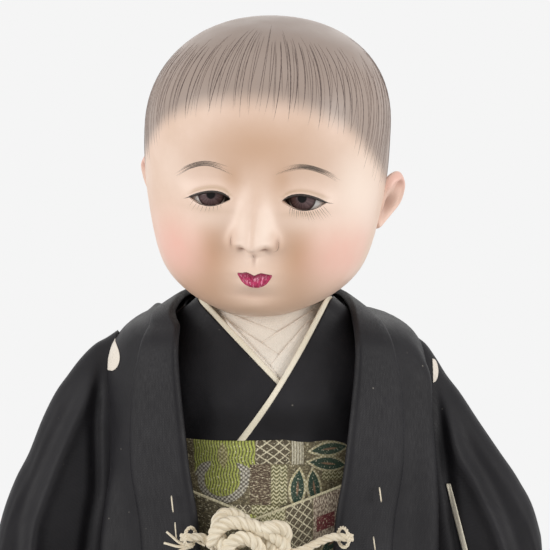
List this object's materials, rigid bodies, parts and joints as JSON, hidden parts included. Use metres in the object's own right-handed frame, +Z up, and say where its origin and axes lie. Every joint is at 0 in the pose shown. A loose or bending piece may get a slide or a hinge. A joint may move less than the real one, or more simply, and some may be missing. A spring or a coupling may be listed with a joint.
{
  "type": "ichimatsu doll",
  "caption": "Standing play doll of a boy in formal dress: hollow head on a turning neck, swinging cloth arms, squeeze voice, kimono, sash, pleated hakama, coat and knotted coat cord.",
  "frame": {"origin": "on the floor under the middle of the doll", "axes": "+Z up, the face towards -Y, the doll's left hand towards +X"},
  "size_m": [0.2046, 0.1068, 0.4008],
  "materials": {
    "gofun_skin": "composition of wood paste under a polished coat of shell white, tinted pink",
    "bare_composition": "moulded wood paste, bare",
    "paulownia": "planed",
    "eye_glass": "blown glass, dark iris",
    "putty": "wood paste putty",
    "stuffed_cotton": "cotton tube, stuffed",
    "bellows_paper": "folded paper",
    "spring_steel": "wire",
    "reed_brass": "tube",
    "black_silk": "plain weave, soft sheen",
    "white_silk": "plain weave",
    "cream_silk": "plain weave",
    "brocade": "figured weave of green, gold and cream",
    "white_cord": "twisted silk cord",
    "tabi_cotton": "plain cotton"
  },
  "bodies": {
    "torso": {"neck_socket": "paulownia", "torso_front_shell": "bare_composition", "torso_back_shell": "bare_composition", "hip_block": "paulownia", "left_leg": "gofun_skin", "right_leg": "gofun_skin", "left_tabi": "tabi_cotton", "right_tabi": "tabi_cotton", "voice_back_block": "paulownia", "voice_bellows": "bellows_paper", "voice_spring": "spring_steel", "voice_reed": "reed_brass", "kimono_body": "black_silk", "kimono_collar_left": "black_silk", "kimono_collar_right": "black_silk", "cream_collar_edge_left": "cream_silk", "cream_collar_edge_right": "cream_silk", "white_collar_left": "white_silk", "white_collar_right": "white_silk", "sash": "brocade", "hakama": "brocade", "hakama_tie_left": "brocade", "hakama_tie_right": "brocade", "hakama_back_board": "brocade", "haori_body": "black_silk", "haori_lapel_left": "black_silk", "haori_lapel_right": "black_silk", "haori_neckband": "black_silk", "coat_cord": "white_cord", "cord_loop_left": "cream_silk", "cord_loop_right": "cream_silk", "cord_tassel_left": "white_cord", "cord_tassel_right": "white_cord"},
    "head": {"face_shell": "gofun_skin", "skull_shell": "gofun_skin", "left_glass_eye": "eye_glass", "right_glass_eye": "eye_glass", "left_eye_putty": "putty", "right_eye_putty": "putty", "neck_post": "paulownia"},
    "left_arm": {"left_upper_arm": "stuffed_cotton", "haori_sleeve_left": "black_silk"},
    "right_arm": {"right_upper_arm": "stuffed_cotton", "haori_sleeve_right": "black_silk"},
    "left_forearm": {"left_forearm": "gofun_skin"},
    "right_forearm": {"right_forearm": "gofun_skin"},
    "voice_press": {"voice_press_board": "paulownia"}
  },
  "joints": [
    {"name": "head_turn", "type": "hinge", "parent": "torso", "child": "head", "pos_m": [0, 0.004, 0.298], "axis": [0, 0, 1], "range_deg": [-25, 25]},
    {"name": "left_shoulder_swing", "type": "hinge", "parent": "torso", "child": "left_arm", "pos_m": [0.045, 0.004, 0.276], "axis": [-1, 0, 0], "range_deg": [-15, 45]},
    {"name": "right_shoulder_swing", "type": "hinge", "parent": "torso", "child": "right_arm", "pos_m": [-0.045, 0.004, 0.276], "axis": [-1, 0, 0], "range_deg": [-15, 45]},
    {"name": "left_forearm_twist", "type": "hinge", "parent": "left_arm", "child": "left_forearm", "pos_m": [0.076, 0.001, 0.234], "axis": [0.4031, -0.2016, -0.8927], "range_deg": [-35, 35], "stiffness_Nm_per_rad": 0.004},
    {"name": "right_forearm_twist", "type": "hinge", "parent": "right_arm", "child": "right_forearm", "pos_m": [-0.076, 0.001, 0.234], "axis": [-0.4031, -0.2016, -0.8927], "range_deg": [-35, 35], "stiffness_Nm_per_rad": 0.004},
    {"name": "voice_press_slide", "type": "slide", "parent": "torso", "child": "voice_press", "axis": [0, 1, 0], "range_m": [0, 0.006], "stiffness_N_per_m": 200, "deforming": ["voice_bellows", "voice_spring"]}
  ]
}
